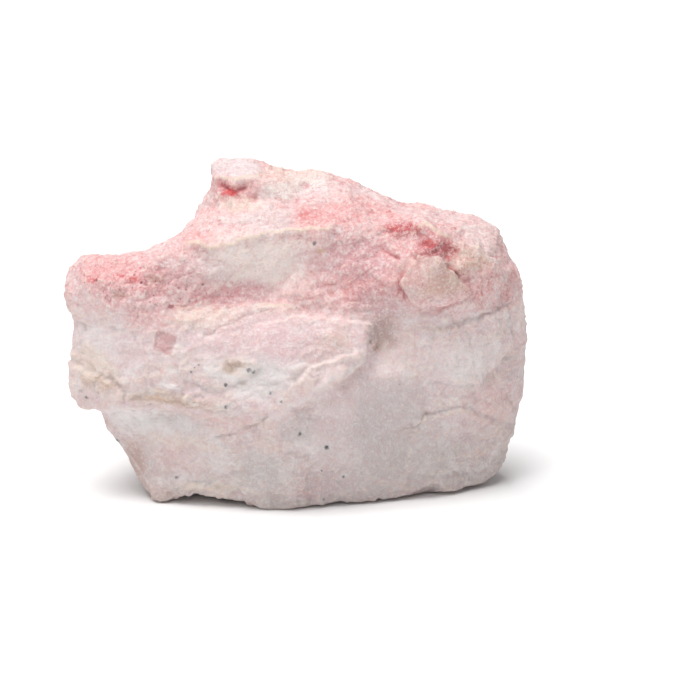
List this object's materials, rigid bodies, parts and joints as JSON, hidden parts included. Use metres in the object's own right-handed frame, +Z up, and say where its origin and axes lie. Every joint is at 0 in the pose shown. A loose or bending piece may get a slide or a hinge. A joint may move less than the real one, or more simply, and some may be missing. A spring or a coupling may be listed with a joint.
{
  "type": "rhodochrosite specimen",
  "caption": "Rough hand specimen of massive rhodochrosite: a broken, layered lump of pale pink and cream stone with deeper pink along its upper faces and fine dark specks.",
  "frame": {"origin": "on the resting plane, under the middle of the stone's bounding box", "axes": "+Z up from the resting plane, +X to the right along the stone's length as seen from its broad show face, +Y from the show face to the back"},
  "size_m": [0.0422, 0.0226, 0.0299],
  "materials": {
    "stone": "matt, fine grained broken surface"
  },
  "bodies": {
    "root": {"rhodochrosite": "stone"}
  },
  "joints": []
}
